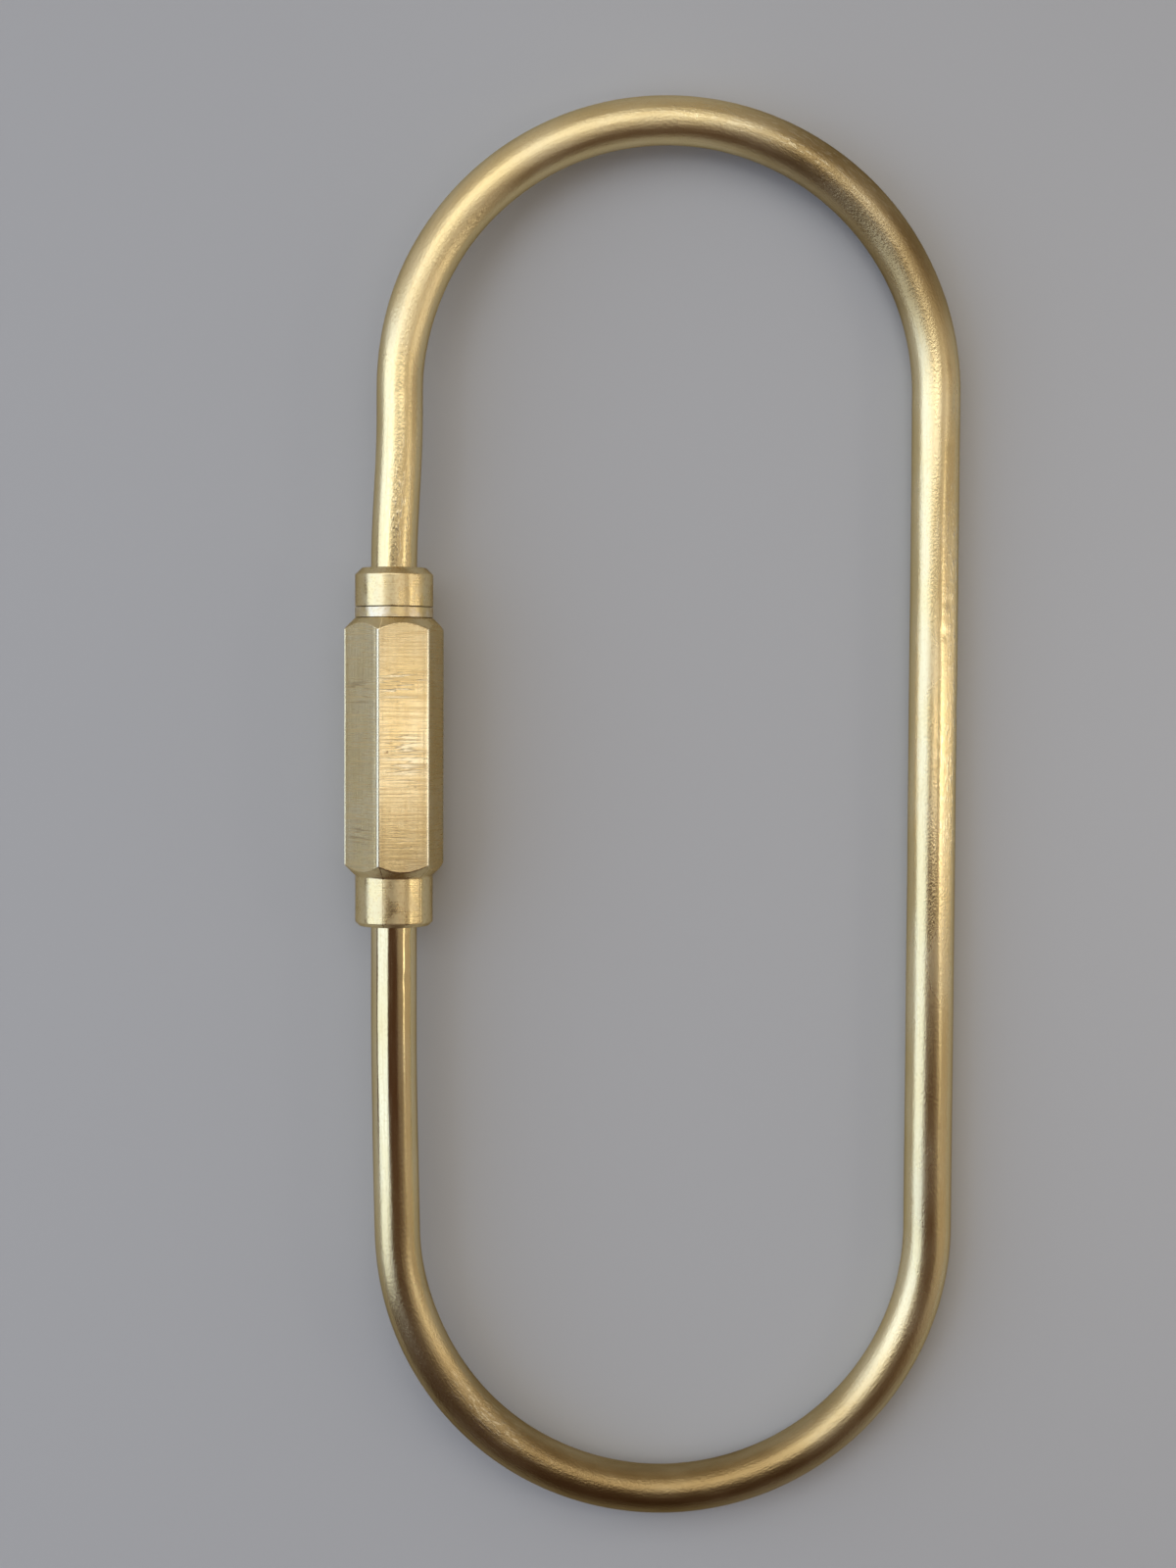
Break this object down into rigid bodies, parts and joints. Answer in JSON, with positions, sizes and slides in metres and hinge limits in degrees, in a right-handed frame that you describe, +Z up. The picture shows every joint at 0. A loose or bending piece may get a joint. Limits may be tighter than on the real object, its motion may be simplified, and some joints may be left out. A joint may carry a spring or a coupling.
{
  "type": "carabiner keyring",
  "caption": "Long oval key ring of bent round brass rod, closed on one side by a hexagonal screw sleeve that unscrews along the rod to open the gate.",
  "frame": {"origin": "middle of the footprint, on the surface the ring lies on", "axes": "+Y along the ring toward its stop collar; +Z up from the surface; the sleeve is on the -X side and its axis is parallel to Y"},
  "size_m": [0.0382, 0.089, 0.0062],
  "materials": {
    "rod_brass": "satin, polished by handling next to the sleeve",
    "collar_brass": "turned satin",
    "washer_brass": "dull, slightly blotched",
    "sleeve_brass": "drawn bar with fine lengthwise grain and cross scratches"
  },
  "bodies": {
    "ring": {"wire_loop": "rod_brass", "stop_collar": "collar_brass"},
    "washer": {"thrust_washer": "washer_brass"},
    "sleeve": {"hex_sleeve": "sleeve_brass"}
  },
  "joints": [
    {"name": "sleeve_turn", "type": "hinge", "parent": "ring", "child": "washer", "pos_m": [-0.01615, 0.0125, 0.0031], "axis": [0, -1, 0], "range_deg": [0, 6120]},
    {"name": "sleeve_travel", "type": "slide", "parent": "washer", "child": "sleeve", "axis": [0, -1, 0], "range_m": [0, 0.0085]}
  ],
  "couplings": [
    {"joint": "sleeve_turn", "follows": "sleeve_travel", "rad_per_m": 12566}
  ]
}
